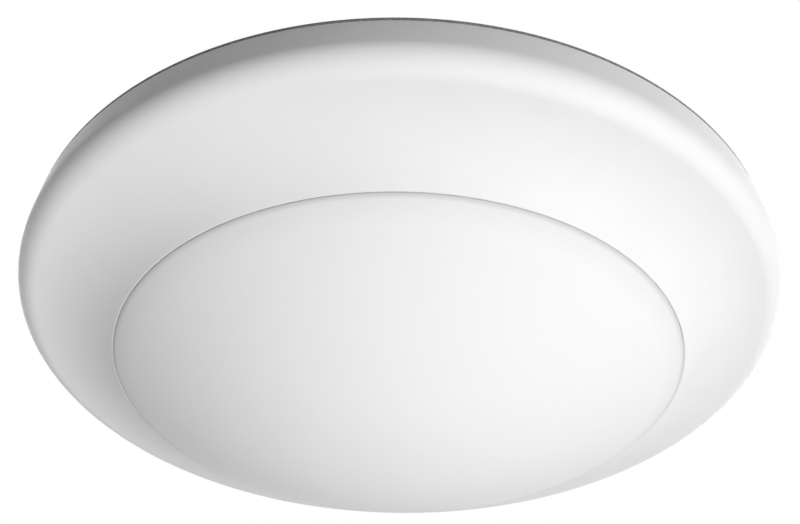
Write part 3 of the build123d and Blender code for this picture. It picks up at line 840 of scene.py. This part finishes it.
class Finish:
    """A procedural finish: a shader, and the nodes that vary its colour, gloss and relief."""

    def __init__(self, name, stretch=(1.0, 1.0, 1.0)):
        self.material = bpy.data.materials.new(name)
        self.material.use_nodes = True
        self.tree = self.material.node_tree
        self.shader = self.tree.nodes["Principled BSDF"]
        self.place = add_node(self.tree, "TexCoord").outputs["Object"]
        self.mapping = add_node(self.tree, "Mapping", Scale=stretch)
        self.link(self.place, self.mapping.inputs["Vector"])

    def link(self, source, target):
        """Join two sockets."""
        self.tree.links.new(source, target)

    def set(self, **values):
        """Give the shader's own sockets values that hold all over the surface."""
        set_sockets(self.shader, values)
        return self

    def noise(self, size, detail=4.0, rough=0.55):
        """Cloudy noise whose features are about the given size."""
        node = add_node(self.tree, "TexNoise", Scale=1 / size, Detail=detail, Roughness=rough)
        self.link(self.mapping.outputs["Vector"], node.inputs["Vector"])
        return node.outputs["Fac"]

    def cells(self, size, feature="F1"):
        """Crystal or bubble cells of about the given size, as a distance and a random tone."""
        node = add_node(self.tree, "TexVoronoi", Scale=1 / size)
        node.feature = feature
        self.link(self.mapping.outputs["Vector"], node.inputs["Vector"])
        return node.outputs

    def work_out(self, kind, operation, source, *values):
        """What a maths node makes of one socket and of fixed values."""
        node = add_node(self.tree, kind)
        node.operation = operation
        self.link(source, node.inputs[0])
        for number, value in enumerate(values, 1):
            node.inputs[number].default_value = value
        return node.outputs

    def from_axis(self, reach):
        """The distance from the axis, as a share of a reach."""
        flat = self.work_out("VectorMath", "MULTIPLY", self.place, (1 / reach, 1 / reach, 0))
        return self.work_out("VectorMath", "LENGTH", flat["Vector"])["Value"]

    def at_height(self, height, reach):
        """One at a height along Z, and nothing elsewhere."""
        split = add_node(self.tree, "SeparateXYZ")
        self.link(self.place, split.inputs["Vector"])
        return self.work_out("Math", "COMPARE", split.outputs["Z"], height, reach)["Value"]

    def tones(self, pattern, *stops):
        """Run the base colour through tones, each given with its place along a pattern."""
        ramp = add_node(self.tree, "ValToRGB")
        elements = ramp.color_ramp.elements
        for number, (place, tone) in enumerate(stops):
            stop = elements[number] if number < len(elements) else elements.new(place)
            stop.position = place
            stop.color = (*tone, 1)
        self.link(pattern, ramp.inputs["Fac"])
        self.link(ramp.outputs["Color"], self.shader.inputs["Base Color"])

    def gloss(self, pattern, smooth, rough, low=0.3, high=0.7):
        """Run the roughness between two values."""
        span = add_node(self.tree, "MapRange", From_Min=low, From_Max=high, To_Min=smooth, To_Max=rough)
        self.link(pattern, span.inputs["Value"])
        self.link(span.outputs["Result"], self.shader.inputs["Roughness"])

    def relief(self, pattern, height, strength=0.5):
        """Raise the surface by a pattern of the given height."""
        bump = add_node(self.tree, "Bump", Strength=strength, Distance=height)
        self.link(pattern, bump.inputs["Height"])
        self.link(bump.outputs["Normal"], self.shader.inputs["Normal"])
        return self

    def on(self, *pieces):
        """Put the finish on pieces in place of what they had."""
        for piece in pieces:
            piece.data.materials.clear()
            piece.data.materials.append(self.material)


def shade(tone, factor):
    """A tone made a little darker or lighter."""
    return tuple(min(1.0, value * factor) for value in tone)


def powder_coat(tone):
    """Satin white powder coat: very even, with the faint orange peel of sprayed paint."""
    finish = Finish("satin_powder_coat")
    finish.tones(finish.noise(0.03), (0.3, shade(tone, 0.985)), (0.7, shade(tone, 1.015)))
    finish.gloss(finish.noise(0.004), smooth=0.34, rough=0.42)
    finish.relief(finish.noise(0.0011, detail=2.0), height=1.2e-5)
    return finish.set(Specular_IOR_Level=0.1)


def opal_with_painted_shade(tone, radius):
    """Opal lens: light goes a little way in and its face is frosted; painted shade greys it from the middle
    outwards to a dark painted line at its rim, which stands for the seam's shadow.
    """
    finish = Finish("opal_lens")
    # painted shade: the tone greys from 0.3 of the radius outwards, and the last stops paint a dark line at
    # the rim in place of the seam's shadow
    finish.tones(
        finish.from_axis(radius),
        (0.3, tone),
        (0.92, shade(tone, 0.94)),
        (0.986, shade(tone, 0.88)),
        (1.0, shade(tone, 0.66)),
    )
    finish.gloss(finish.noise(0.003), smooth=0.42, rough=0.5)
    finish.relief(finish.noise(0.0005, detail=2.0), height=4e-6, strength=0.4)
    finish.set(Subsurface_Weight=0.3, Subsurface_Radius=(1.0, 1.0, 1.0), Subsurface_Scale=0.003)
    return finish.set(Specular_IOR_Level=0.06)


def closed_cell_foam(tone):
    """Grey gasket foam with fine closed cells."""
    finish = Finish("gasket_foam")
    cells = finish.cells(0.0004)["Distance"]
    finish.tones(cells, (0.1, shade(tone, 0.6)), (0.8, shade(tone, 1.5)))
    finish.gloss(finish.noise(0.002), smooth=0.8, rough=0.95)
    return finish.relief(cells, height=1.2e-4, strength=0.7)


def rolled_aluminium(tone):
    """Pressed sheet with the fine straight grain of the rolling mill."""
    finish = Finish("rolled_aluminium", stretch=(1.0, 14.0, 1.0))
    grain = finish.noise(0.004, detail=6.0, rough=0.7)
    finish.tones(grain, (0.3, shade(tone, 0.93)), (0.7, shade(tone, 1.05)))
    finish.gloss(finish.noise(0.006, detail=6.0, rough=0.7), smooth=0.34, rough=0.46)
    finish.relief(finish.noise(0.0015, detail=5.0, rough=0.7), height=5e-6)
    return finish.set(Metallic=1.0)


def galvanised_steel(name, tone, spangle):
    """Zinc-coated sheet with its fine crystal spangle."""
    finish = Finish(name)
    crystals = finish.cells(spangle)["Color"]
    finish.tones(crystals, (0.1, shade(tone, 0.92)), (0.9, shade(tone, 1.06)))
    finish.gloss(crystals, smooth=0.34, rough=0.46, low=0.1, high=0.9)
    finish.relief(finish.noise(0.0012), height=6e-6)
    return finish.set(Metallic=1.0)


def plated_metal(name, tone, smooth=0.26, rough=0.42):
    """Turned and plated small parts."""
    finish = Finish(name, stretch=(1.0, 1.0, 10.0))
    finish.tones(finish.noise(0.0012, detail=5.0), (0.3, shade(tone, 0.88)), (0.7, shade(tone, 1.06)))
    finish.gloss(finish.noise(0.0009, detail=5.0), smooth, rough)
    finish.relief(finish.noise(0.0006, detail=3.0), height=5e-6)
    return finish.set(Metallic=1.0)


def moulded(name, tone, smooth=0.4, rough=0.55):
    """Moulded plastic, rubber or ceramic with a fine matt skin."""
    finish = Finish(name)
    finish.tones(finish.noise(0.006), (0.3, shade(tone, 0.92)), (0.7, shade(tone, 1.06)))
    finish.gloss(finish.noise(0.002), smooth, rough)
    return finish.relief(finish.noise(0.0006, detail=3.0), height=1.2e-5)


def circuit_board(name, tone, track):
    """Solder mask with the tracks under it faintly raised."""
    finish = Finish(name)
    tracks = finish.cells(track, "DISTANCE_TO_EDGE")["Distance"]
    finish.tones(tracks, (0.03, shade(tone, 0.9)), (0.07, shade(tone, 1.05)))
    finish.gloss(finish.noise(0.002), smooth=0.28, rough=0.4)
    return finish.relief(tracks, height=3e-5, strength=0.4)


def led_package(housing, phosphor, window_height):
    """A white LED package whose sunk window is filled with yellow phosphor."""
    finish = Finish("led_package")
    finish.tones(finish.at_height(window_height, LED_WINDOW_REACH), (0.3, housing), (0.7, phosphor))
    finish.gloss(finish.noise(0.0008), smooth=0.3, rough=0.5)
    return finish.relief(finish.noise(0.0003, detail=3.0), height=1e-5)


class Moulding(NamedTuple):
    """A moulded finish and the solids that take it."""

    name: str
    tone: tuple
    smooth: float
    rough: float
    nodes: tuple

    def apply(self):
        """Make the finish and put it on its solids."""
        finish = moulded(self.name, self.tone, self.smooth, self.rough)
        finish.on(*(SOLIDS[node] for node in self.nodes))


WHITE_MASK = (0.85, 0.85, 0.83)
GREEN_MASK = (0.04, 0.2, 0.08)
PHOSPHOR = (0.85, 0.62, 0.12)
BRASS = (0.78, 0.58, 0.27)
ENGINE_MOULDINGS = (
    Moulding("reflector_white", (0.88, 0.88, 0.87), 0.45, 0.6, ("reflector_ring",)),
    Moulding("bush_nylon", (0.8, 0.8, 0.78), 0.4, 0.55, ("lead_bush",)),
    Moulding("red_insulation", (0.5, 0.03, 0.03), 0.3, 0.42, ("positive_lead",)),
    Moulding("black_insulation", (0.02, 0.02, 0.02), 0.3, 0.42, ("negative_lead",)),
)
DRIVER_MOULDINGS = (
    Moulding("liner_film", (0.72, 0.72, 0.66), 0.25, 0.35, ("driver_liner",)),
    Moulding("ferrite", (0.05, 0.05, 0.055), 0.5, 0.7, ("transformer", "filter_choke")),
    Moulding("capacitor_sleeve", (0.03, 0.03, 0.05), 0.2, 0.3, ("smoothing_capacitor",)),
    Moulding("yellow_box", (0.75, 0.52, 0.05), 0.35, 0.5, ("film_capacitor",)),
    Moulding("black_epoxy", (0.025, 0.025, 0.027), 0.45, 0.6, ("bridge_rectifier", "control_chip")),
    Moulding("fuse_brown", (0.2, 0.08, 0.04), 0.35, 0.5, ("mains_fuse",)),
)


class DISKLIGHT_OT_trim(bpy.types.Operator):
    """Turn the coved trim ring, root its ribs and bosses in it and coat it satin white"""

    bl_idname = "disklight.trim"
    bl_label = "Trim Ring"

    def execute(self, context):
        light = context.scene.disk_light
        size = light.trim
        trim = turn_piece("coved_trim", trim_section(size), light.round_steps)
        trim = combine(trim, "UNION", trim_stiffeners(size, light.round_steps, light.small_steps))
        low = -size.boss_depth - size.pilot_length
        high = CUT_MARGIN - size.boss_depth
        radius = light.screws.radius + light.clearance
        pilots = pegs(TRIM_SCREWS.places(), radius, low, high, light.small_steps)
        trim = combine(trim, "DIFFERENCE", *pilots)
        dress(trim, powder_coat(light.colours.paint), "trim_ring", "light_head")
        return {"FINISHED"}


class DISKLIGHT_OT_lens(bpy.types.Operator):
    """Turn the opal dome with its collar and flange"""

    bl_idname = "disklight.lens"
    bl_label = "Opal Lens"

    def execute(self, context):
        light = context.scene.disk_light
        section = lens_section(light.lens, light.trim, light.seals.lens_top)
        dome = turn_piece("opal_dome", section, light.round_steps)
        opal = opal_with_painted_shade(light.colours.opal, light.lens.radius)
        dress(dome, opal, "diffuser_lens", "light_head")
        return {"FINISHED"}


class DISKLIGHT_OT_seals(bpy.types.Operator):
    """Turn the foam ring, the silicone ring under the lens, the rubber grommet and the heat pad"""

    bl_idname = "disklight.seals"
    bl_label = "Seals"

    def execute(self, context):
        light = context.scene.disk_light
        size = light.seals
        tones = light.colours
        section = foam_section(size, light.trim.edge_depth, light.pan.flange_depth)
        foam = turn_piece("foam_ring", section, light.round_steps)
        dress(foam, closed_cell_foam(tones.foam), "rear_gasket", "light_head")
        seat = light.trim.ledge_depth
        section = flat_ring_section(size.lens_inner, size.lens_outer, size.lens_top, seat, size.lens_round)
        ring = turn_piece("silicone_ring", section, light.round_steps)
        dress(ring, moulded("silicone", tones.silicone), "lens_gasket", "light_head")
        can = light.can
        section = grommet_section(size, can.height - can.sheet, can.height)
        grommet = turn_piece("rubber_grommet", section, light.small_steps)
        set_down(grommet, (0, -can.grommet_offset, 0))
        rubber = moulded("grommet_rubber", tones.rubber, smooth=0.5, rough=0.7)
        dress(grommet, rubber, "wire_grommet", "light_head")
        top = light.pan.floor_depth + light.pan.sheet
        bottom = top + size.pad_thickness
        section = flat_ring_section(size.pad_inner, size.pad_outer, top, bottom, size.pad_round)
        pad = turn_piece("heat_pad", section, light.round_steps)
        low, high = -bottom - CUT_MARGIN, CUT_MARGIN - top
        holes = pegs(BOARD_SCREWS.places(), light.screws.plain_hole, low, high, light.small_steps)
        pad = combine(pad, "DIFFERENCE", *holes)
        grey = moulded("heat_pad_grey", tones.pad, smooth=0.6, rough=0.8)
        dress(pad, grey, "thermal_pad", "light_head")
        return {"FINISHED"}


class DISKLIGHT_OT_pan(bpy.types.Operator):
    """Press the back pan and cut its keyholes and screw holes"""

    bl_idname = "disklight.pan"
    bl_label = "Back Pan"

    def execute(self, context):
        light = context.scene.disk_light
        size = light.pan
        lock = light.bracket
        screws = light.screws
        small = light.small_steps
        low = -size.floor_depth - size.sheet - CUT_MARGIN
        high = CUT_MARGIN - size.floor_depth
        cutters = []
        for start in ring_places(lock.stud_circle, lock.stud_count, lock.stud_angle):
            turn = start[2]
            end = ring_places(lock.stud_circle, 1, turn + lock.twist)[0]
            path = (lock.stud_circle, size.slot_width, low, high, turn, lock.twist)
            cutters.append(arc_slot(*path, small // 2))
            cutters += pegs([start], size.slot_width / 2, low, high, small)
            cutters += pegs([end], size.keyhole_radius, low, high, small)
        high = CUT_MARGIN - size.flange_depth
        cutters += pegs(TRIM_SCREWS.places(), screws.plain_hole, low, high, small)
        for row in (CAN_SCREWS, BOARD_SCREWS):
            cutters += pegs(row.places(), screws.radius + light.clearance, low, high, small)
        pan = turn_piece("pressed_pan", pan_section(size, light.sheet_edge), light.round_steps)
        pan = combine(pan, "DIFFERENCE", *cutters)
        dress(pan, rolled_aluminium(light.colours.aluminium), "back_pan", "light_head")
        return {"FINISHED"}


class DISKLIGHT_OT_can(bpy.types.Operator):
    """Draw the driver can and cut the holes for its grommet and screws"""

    bl_idname = "disklight.can"
    bl_label = "Driver Can"

    def execute(self, context):
        light = context.scene.disk_light
        size = light.can
        small = light.small_steps
        low, high = size.height - size.sheet - CUT_MARGIN, size.height + CUT_MARGIN
        neck = light.seals.neck + light.clearance
        cutters = pegs([(0, -size.grommet_offset)], neck, low, high, small)
        seat = -light.pan.floor_depth
        low, high = seat - CUT_MARGIN, seat + size.sheet + CUT_MARGIN
        cutters += pegs(CAN_SCREWS.places(), light.screws.plain_hole, low, high, small)
        can = turn_piece("drawn_can", can_section(size, seat, light.sheet_edge), light.round_steps)
        can = combine(can, "DIFFERENCE", *cutters)
        zinc = galvanised_steel("galvanised_can", light.colours.zinc, spangle=0.0028)
        dress(can, zinc, "driver_can", "light_head")
        return {"FINISHED"}


class DISKLIGHT_OT_bracket(bpy.types.Operator):
    """Make the box bracket with its slots, the studs riveted in it and the earth screw"""

    bl_idname = "disklight.bracket"
    bl_label = "Box Bracket"

    def execute(self, context):
        light = context.scene.disk_light
        size = light.bracket
        tones = light.colours
        small = light.small_steps
        low, high = -size.sheet - CUT_MARGIN, CUT_MARGIN
        middle = (low + high) / 2
        straight = size.slot_length - size.slot_width
        cutters = []
        for x in (-size.box_spacing / 2, size.box_spacing / 2):
            cutters.append(block((straight, size.slot_width, high - low), (x, 0, middle)))
            ends = ((x - straight / 2, 0), (x + straight / 2, 0))
            cutters += pegs(ends, size.slot_width / 2, low, high, small)
        studs = ring_places(size.stud_circle, size.stud_count, size.stud_angle)
        cutters += pegs(studs, size.tenon + light.clearance, low, high, small)
        earth = [(0, size.earth_circle)]
        cutters += pegs(earth, size.earth_radius + light.clearance, low, high, small)
        bracket = turn_piece("box_bracket", bracket_section(size, light.sheet_edge), light.round_steps)
        bracket = combine(bracket, "DIFFERENCE", *cutters)
        zinc = galvanised_steel("galvanised_bracket", tones.zinc, spangle=0.0022)
        dress(bracket, zinc, "mounting_bracket", "ceiling_mount")
        stud = turn_piece("lock_stud", stud_section(size), small)
        plating = plated_metal("plated_studs", shade(tones.zinc, 1.05))
        for copy in copy_to(stud, "lock_stud", studs):
            dress(copy, plating, "lock_studs", "ceiling_mount")
        green = plated_metal("green_earth_screw", tones.earth, smooth=0.32, rough=0.48)
        dress(make_earth_screw(size, small), green, "ground_screw", "ceiling_mount")
        return {"FINISHED"}


class DISKLIGHT_OT_screws(bpy.types.Operator):
    """Make the cross-recessed screws and set a copy in every hole"""

    bl_idname = "disklight.screws"
    bl_label = "Screws"

    def execute(self, context):
        light = context.scene.disk_light
        plating = plated_metal("plated_screws", shade(light.colours.zinc, 1.1))
        for row in (TRIM_SCREWS, CAN_SCREWS, BOARD_SCREWS, DRIVER_SCREWS):
            screw = make_screw(row, light.screws, light.small_steps)
            for copy in copy_to(screw, row.node[:-1], row.places()):
                dress(copy, plating, row.node, "light_head")
        return {"FINISHED"}


class DISKLIGHT_OT_engine(bpy.types.Operator):
    """Finish the light engine: LED board, LEDs, reflector, leads and bush"""

    bl_idname = "disklight.engine"
    bl_label = "Light Engine"

    def execute(self, context):
        low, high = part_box("led_chips")
        window_height = low.z + (high.z - low.z) * LED_WINDOW
        circuit_board("white_solder_mask", WHITE_MASK, track=0.012).on(SOLIDS["led_board"])
        led_package(WHITE_MASK, PHOSPHOR, window_height).on(SOLIDS["led_chips"])
        for moulding in ENGINE_MOULDINGS:
            moulding.apply()
        return {"FINISHED"}


class DISKLIGHT_OT_driver(bpy.types.Operator):
    """Finish the driver: its board, liner, spacers and components"""

    bl_idname = "disklight.driver"
    bl_label = "Driver"

    def execute(self, context):
        circuit_board("green_solder_mask", GREEN_MASK, track=0.006).on(SOLIDS["driver_board"])
        plated_metal("brass_spacers", BRASS).on(SOLIDS["board_spacers"])
        for moulding in DRIVER_MOULDINGS:
            moulding.apply()
        return {"FINISHED"}


STUDIO_LAMPS = (
    ("key", "lamp_size", (0.67, -0.51, -0.53)),
    ("under", "lamp_size", (0.34, -0.36, -0.87)),
    ("front", "lamp_size", (0.6, -0.75, -0.28)),
    ("left", "lamp_size", (-0.5, -0.1, -0.86)),
    ("side", "wide_size", (-0.4, 0.5, 0.77)),
    ("rear", "wide_size", (0.4, 0.46, 0.79)),
)
SENSOR_WIDTH = 36.0  # of the camera, in millimetres
NEAREST_SEEN = 0.005  # how near to the camera a thing is still seen
FLOOR_STEPS = 96  # segments round the floor


def soft_box(name, watts, size, distance, direction):
    """A square studio light that faces the object from a direction."""
    start_fresh()
    place = Vector(direction).normalized() * distance
    bpy.ops.object.light_add(type="AREA", location=place)
    lamp = bpy.context.object
    lamp.name = name
    lamp.data.energy = watts
    lamp.data.size = size
    lamp.rotation_euler = (-place).to_track_quat("-Z", "Y").to_euler()


def seen_directly(tree):
    """One for what the camera, reflections and clear parts see, and nothing for diffuse light."""
    path = add_node(tree, "LightPath")
    result = path.outputs["Is Camera Ray"]
    for name in ("Is Glossy Ray", "Is Transmission Ray"):
        either = add_node(tree, "Math")
        either.operation = "MAXIMUM"
        tree.links.new(result, either.inputs[0])
        tree.links.new(path.outputs[name], either.inputs[1])
        result = either.outputs["Value"]
    return result


def studio_world(fill):
    """A white surround that the camera and reflections see, and that lights the object more softly."""
    world = bpy.data.worlds.new("studio")
    bpy.context.scene.world = world
    world.use_nodes = True
    tree = world.node_tree
    level = add_node(tree, "MapRange", To_Min=fill)
    tree.links.new(seen_directly(tree), level.inputs["Value"])
    background = set_sockets(tree.nodes["Background"], {"Color": (1, 1, 1, 1)})
    tree.links.new(level.outputs["Result"], background.inputs["Strength"])


def studio_floor(stage, tone):
    """A wide pale floor, well under the ceiling."""
    start_fresh()
    bpy.ops.mesh.primitive_circle_add(
        vertices=FLOOR_STEPS,
        radius=stage.floor_radius,
        fill_type="NGON",
        location=(0, 0, -stage.floor_depth),
    )
    floor = settle(bpy.context.object)
    floor.name = "studio_floor"
    bpy.ops.object.mode_set(mode="EDIT")
    bpy.ops.mesh.select_all(action="SELECT")
    bpy.ops.mesh.inset(thickness=stage.floor_radius / 3)
    bpy.ops.object.mode_set(mode="OBJECT")
    finish = Finish("pale_floor")
    finish.tones(finish.noise(0.4), (0.3, shade(tone, 0.98)), (0.7, tone))
    finish.gloss(finish.noise(0.2), smooth=0.6, rough=0.75)
    glow = add_node(finish.tree, "MapRange", To_Max=stage.floor_glow)
    finish.link(seen_directly(finish.tree), glow.inputs["Value"])
    finish.link(glow.outputs["Result"], finish.shader.inputs["Emission Strength"])
    finish.set(Emission_Color=(*tone, 1))
    finish.on(floor)


def studio_camera(stage):
    """The camera under the light, on the side that the picture shows."""
    place = Vector((0, -cos(stage.elevation), -sin(stage.elevation))) * stage.distance
    start_fresh()
    bpy.ops.object.camera_add(location=place)
    camera = bpy.context.object
    camera.data.lens = stage.lens
    camera.data.sensor_width = SENSOR_WIDTH
    camera.data.clip_start = NEAREST_SEEN
    camera.data.dof.use_dof = False
    aim = (-place).to_track_quat("-Z", "Y")
    tip = Quaternion((1, 0, 0), stage.pitch)
    lean = Quaternion((0, 0, 1), stage.roll)
    camera.rotation_mode = "QUATERNION"
    camera.rotation_quaternion = aim @ tip @ lean
    bpy.context.scene.camera = camera


class DISKLIGHT_OT_stage(bpy.types.Operator):
    """Set up the floor, the soft lights, the white surround and the camera"""

    bl_idname = "disklight.stage"
    bl_label = "Stage"

    def execute(self, context):
        light = context.scene.disk_light
        stage = light.stage
        studio_floor(stage, light.colours.floor)
        for name, size_name, direction in STUDIO_LAMPS:
            watts = getattr(stage, f"{name}_power")
            soft_box(f"{name}_light", watts, getattr(stage, size_name), stage.lamp_distance, direction)
        studio_world(stage.fill)
        studio_camera(stage)
        context.scene.view_settings.view_transform = "Standard"
        return {"FINISHED"}


class DISKLIGHT_PT_sidebar(bpy.types.Panel):
    """The light's pieces, in the order in which they are built, and what a user can change on them"""

    bl_label = "Disk Light"
    bl_idname = "DISKLIGHT_PT_sidebar"
    bl_space_type = "VIEW_3D"
    bl_region_type = "UI"
    bl_category = "Disk Light"

    def draw(self, context):
        light = context.scene.disk_light
        for operator in OPERATORS:
            self.layout.operator(operator.bl_idname)
        for name in DiskLight.__annotations__:
            setting = getattr(light, name)
            if isinstance(setting, bpy.types.PropertyGroup):
                box = self.layout.box()
                for detail in setting.__annotations__:
                    box.prop(setting, detail)
            else:
                self.layout.prop(light, name)


GROUPS = (
    TrimSizes,
    LensSizes,
    SealSizes,
    PanSizes,
    CanSizes,
    BracketSizes,
    ScrewSizes,
    FinishColours,
    StageSettings,
    DiskLight,
)
OPERATORS = (
    DISKLIGHT_OT_trim,
    DISKLIGHT_OT_lens,
    DISKLIGHT_OT_seals,
    DISKLIGHT_OT_pan,
    DISKLIGHT_OT_can,
    DISKLIGHT_OT_bracket,
    DISKLIGHT_OT_screws,
    DISKLIGHT_OT_engine,
    DISKLIGHT_OT_driver,
    DISKLIGHT_OT_stage,
)
CLASSES = (*GROUPS, *OPERATORS, DISKLIGHT_PT_sidebar)


def register():
    """Make the settings, operators and panel known to Blender."""
    for item in CLASSES:
        bpy.utils.register_class(item)
    bpy.types.Scene.disk_light = PointerProperty(type=DiskLight)


def unregister():
    """Take them away again."""
    del bpy.types.Scene.disk_light
    for item in reversed(CLASSES):
        bpy.utils.unregister_class(item)


def main():
    """Build every piece in order."""
    register()
    bpy.ops.disklight.trim()
    bpy.ops.disklight.lens()
    bpy.ops.disklight.seals()
    bpy.ops.disklight.pan()
    bpy.ops.disklight.can()
    bpy.ops.disklight.bracket()
    bpy.ops.disklight.screws()
    bpy.ops.disklight.engine()
    bpy.ops.disklight.driver()
    bpy.ops.disklight.stage()
    start_fresh()


if __name__ == "__main__":
    main()
